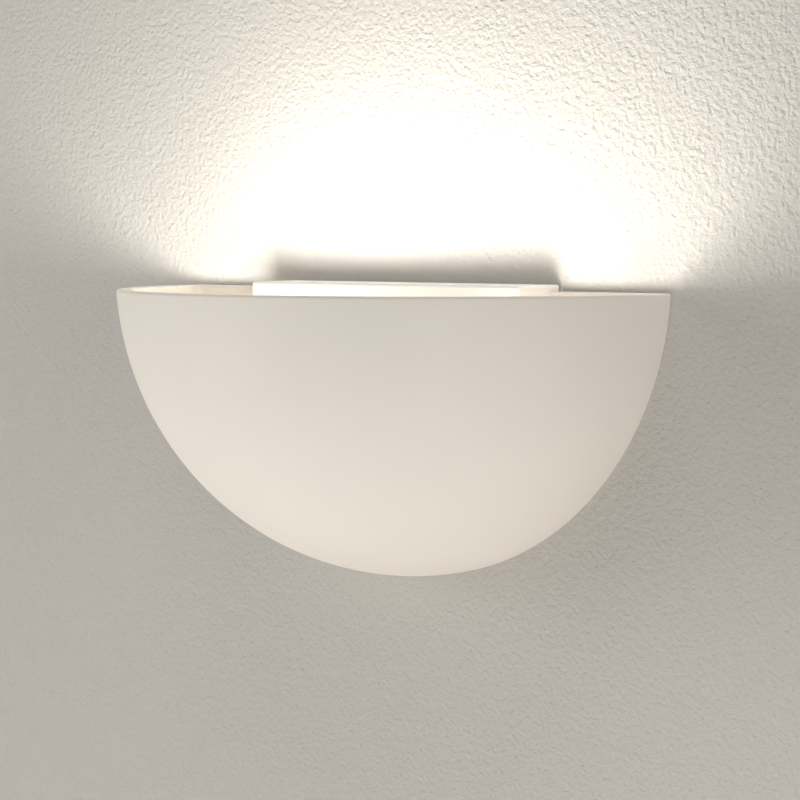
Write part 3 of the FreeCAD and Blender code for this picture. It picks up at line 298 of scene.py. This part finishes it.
LEAD_RADIUS = 0.0009
STRAND_RADIUS = 0.00018
STRAND_LAY = 2.05 * STRAND_RADIUS  # from the middle strand to each of the others
OUTER_STRANDS = 6
STRAND_TWIST = 0.6  # turns from end to end
STRAND_STEPS = 8
SUNK = 0.0005  # strands inside the insulation
MILLIMETRE = 0.001
COPPER = metal("copper", (0.80, 0.45, 0.30), 0.3)

# bare length past each end of the insulation, in millimetres
STRIPPED = {"lead_live": (6.0, 1.5), "lead_neutral": (6.0, 1.5), "lead_earth": (6.0, 0.1)}

# the route of each lead, in millimetres, as in the part's source
ROUTES = {
    "lead_live": [
        (31, -8.5, 27), (45, -8.5, 27), (62, -9.5, 24.6), (74, -18.5, 23.3), (74, -46, 23.3),
        (80, -58, 13.3), (82, -72, 1.3), (75, -74, -3.7), (53.5, -74, -3.7), (48.4, -74, 0.6),
    ],
    "lead_neutral": [
        (31, -8.5, 17), (45, -8.5, 17), (62, -9.5, 19.4), (74, -18.5, 20.7), (74, -46, 20.7),
        (80, -58, 10.7), (82, -72, -1.3), (75, -74, -6.3), (53.5, -74, -6.3), (48.4, -74, -10.6),
    ],
    "lead_earth": [(31, -8.5, 7), (36, -8.5, 7), (40, -6.5, 2), (40, -3.0, -6.5)],
}


def curve(name, radius, material):
    data = bpy.data.curves.new(name, "CURVE")
    data.dimensions = "3D"
    data.bevel_depth = radius
    data.bevel_resolution = 4
    data.resolution_u = 12
    data.use_fill_caps = True
    data.materials.append(material)
    piece = bpy.data.objects.new(name, data)
    bpy.context.scene.collection.objects.link(piece)
    return piece


def add_spline(piece, points):
    spline = piece.data.splines.new("NURBS")
    spline.points.add(len(points) - 1)
    for point, spot in zip(spline.points, points):
        point.co = (*spot, 1.0)
    spline.order_u = 3
    spline.use_endpoint_u = True


def add_strands(piece, start, end):
    """A twisted bundle of seven fine wires from start to end."""
    way = (end - start).normalized()
    side = way.orthogonal().normalized()
    other = way.cross(side)
    add_spline(piece, [start, (start + end) / 2, end])
    for number in range(OUTER_STRANDS):
        points = []
        for step in range(STRAND_STEPS + 1):
            share = step / STRAND_STEPS
            turn = math.tau * (number / OUTER_STRANDS + STRAND_TWIST * share)
            offset = STRAND_LAY * (math.cos(turn) * side + math.sin(turn) * other)
            points.append(start.lerp(end, share) + offset)
        add_spline(piece, points)


def wire(node):
    """A lead's insulation and its two bare ends, in place of the frame's tube."""
    points = [Vector(point) * MILLIMETRE for point in ROUTES[node]]
    insulation = curve(node + "_insulation", LEAD_RADIUS, LEADS[node])
    add_spline(insulation, points)
    strands = curve(node + "_strands", STRAND_RADIUS, COPPER)
    way_in = (points[1] - points[0]).normalized()
    way_out = (points[-1] - points[-2]).normalized()
    at_start, at_end = (length * MILLIMETRE for length in STRIPPED[node])
    add_strands(strands, points[0] + SUNK * way_in, points[0] - at_start * way_in)
    add_strands(strands, points[-1] - SUNK * way_out, points[-1] + at_end * way_out)
    for piece in (insulation, strands):
        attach(piece, "bracket")
    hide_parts(node)


for node, slot in (("lead_live", "lead_brown"), ("lead_neutral", "lead_blue"), ("lead_earth", "lead_green")):
    wire(node)

# ---------------------------------------------------------------------------
# stage: floor and wall, which aren't part of the object
# ---------------------------------------------------------------------------

FLOOR_LEVEL = -0.9
ROOM = 6.0
WALL_BEHIND = 0.0011  # behind the part's wall face


def flat_sheet(name, corners, material):
    mesh = bpy.data.meshes.new(name)
    mesh.from_pydata(corners, [], [tuple(range(len(corners)))])
    mesh.materials.append(material)
    sheet = bpy.data.objects.new(name, mesh)
    bpy.context.scene.collection.objects.link(sheet)
    return sheet


def wall_paint():
    """Plain pale plaster that shows from the room only, so that it hides nothing from behind."""
    paint = Paint("wall", (0.50, 0.475, 0.435), 0.9)
    paint.bump(paint.noise(0.0022, 3.0), 0.0011)
    side = paint.tree.nodes.new("ShaderNodeNewGeometry")
    paint.clear_where(side.outputs["Backfacing"])
    return paint.material


wall = flat_sheet(
    "wall",
    [(-ROOM, WALL_BEHIND, FLOOR_LEVEL), (ROOM, WALL_BEHIND, FLOOR_LEVEL),
     (ROOM, WALL_BEHIND, ROOM), (-ROOM, WALL_BEHIND, ROOM)],
    wall_paint(),
)
wall.visible_shadow = False  # so that the light named behind reaches the part

floor_paint = Paint("floor", (0.74, 0.72, 0.68), 0.8)
floor_paint.bump(floor_paint.noise(0.01), 0.0002)
flat_sheet(
    "floor",
    [(-ROOM, -ROOM, FLOOR_LEVEL), (ROOM, -ROOM, FLOOR_LEVEL),
     (ROOM, ROOM, FLOOR_LEVEL), (-ROOM, ROOM, FLOOR_LEVEL)],
    floor_paint.material,
)

# ---------------------------------------------------------------------------
# light
# ---------------------------------------------------------------------------

ROOM_LIGHT = 0.17
SIDE_BLEND = 0.02  # how softly the room's light ends at the wall plane


def room_light():
    """An even surround that lights from the room's side only, and looks white from every side."""
    world = bpy.data.worlds.new("room")
    world.use_nodes = True
    tree = world.node_tree
    background = tree.nodes["Background"]
    background.inputs["Color"].default_value = (1.0, 1.0, 1.0, 1.0)
    split = tree.nodes.new("ShaderNodeSeparateXYZ")
    side = tree.nodes.new("ShaderNodeMapRange")
    set_range(side, SIDE_BLEND, -SIDE_BLEND, 0.0, ROOM_LIGHT)
    seen = tree.nodes.new("ShaderNodeLightPath")
    tree.links.new(tree.nodes.new("ShaderNodeTexCoord").outputs["Generated"], split.inputs["Vector"])
    tree.links.new(split.outputs["Y"], side.inputs["Value"])
    strength = side.outputs["Result"]
    for kind in ("Is Camera Ray", "Is Glossy Ray", "Is Transmission Ray"):
        larger = tree.nodes.new("ShaderNodeMath")
        larger.operation = "MAXIMUM"
        tree.links.new(strength, larger.inputs[0])
        tree.links.new(seen.outputs[kind], larger.inputs[1])
        strength = larger.outputs["Value"]
    tree.links.new(strength, background.inputs["Strength"])
    bpy.context.scene.world = world


room_light()

MIDDLE = Vector((0.0, -0.05, -0.03))  # what the studio lights are aimed at
LAMP_COLOR = (1.0, 0.95, 0.86)
INSIDE_COLOR = (1.0, 0.95, 0.88)
GLOW_COLOR = (1.0, 0.985, 0.94)


def add_light(name, kind, spot, power, color):
    data = bpy.data.lights.new(name, kind)
    data.energy = power
    data.color = color
    lamp = bpy.data.objects.new(name, data)
    lamp.location = spot
    bpy.context.scene.collection.objects.link(lamp)
    return lamp


def small_light(name, spot, radius, power, color, lit=None):
    """A round light in the bowl; where lit is given, only that object receives it."""
    lamp = add_light(name, "POINT", spot, power, color)
    lamp.data.shadow_soft_size = radius
    if lit is not None:
        receivers = bpy.data.collections.new(name + "_lights")
        receivers.objects.link(lit)
        lamp.light_linking.receiver_collection = receivers


def soft_light(name, spot, size, power):
    """A white studio light, size metres across, aimed at the part."""
    lamp = add_light(name, "AREA", spot, power, (1.0, 1.0, 1.0))
    lamp.data.shape = "DISK"
    lamp.data.size = size
    lamp.rotation_mode = "QUATERNION"
    lamp.rotation_quaternion = (MIDDLE - Vector(spot)).to_track_quat("-Z", "Y")


# "lamp" is inside the lamp's glass. "bounce" is at the right of the bowl, where the part has no
# lamp, and brightens that end of the gear box. The two glows light nothing but the wall.
small_light("lamp", (-0.038, -0.074, -0.005), 0.024, 0.30, LAMP_COLOR)
small_light("bounce", (0.100, -0.065, 0.004), 0.014, 0.06, INSIDE_COLOR)
small_light("glow", (-0.03, -0.092, 0.006), 0.028, 2.7, GLOW_COLOR, wall)
small_light("glow_right", (0.09, -0.085, 0.008), 0.022, 0.8, GLOW_COLOR, wall)

soft_light("left", (-1.6, -0.9, 0.2), 0.9, 10.3)
soft_light("above", (0.1, -0.45, 1.3), 0.9, 5.0)
soft_light("left_below", (-1.5, -0.9, -0.5), 0.9, 4.0)
soft_light("below", (0.3, -0.7, -0.8), 0.9, 8.0)
soft_light("right", (1.5, -0.9, 0.0), 0.9, 4.2)
soft_light("behind", (0.3, 1.5, 0.5), 1.2, 14.0)

# ---------------------------------------------------------------------------
# camera, at the place that the photograph was taken from
# ---------------------------------------------------------------------------

CAMERA_AZIMUTH = 0.6563
CAMERA_ELEVATION = 0.0781
CAMERA_ROLL = -0.0011
CAMERA_PLACE = (0.63224, -0.83281, 0.06108)
CAMERA_LENS = 92.49
CAMERA_SENSOR = 36.0  # width, in the lens's millimetres

camera_data = bpy.data.cameras.new("camera")
camera_data.lens = CAMERA_LENS
camera_data.sensor_width = CAMERA_SENSOR
camera_data.clip_start = 0.01
camera_data.clip_end = 50.0
camera = bpy.data.objects.new("camera", camera_data)
bpy.context.scene.collection.objects.link(camera)
camera.rotation_mode = "XYZ"
camera.location = CAMERA_PLACE
camera.rotation_euler = (math.pi / 2 - CAMERA_ELEVATION, CAMERA_ROLL, CAMERA_AZIMUTH)
bpy.context.scene.camera = camera
bpy.context.scene.view_settings.view_transform = "Standard"
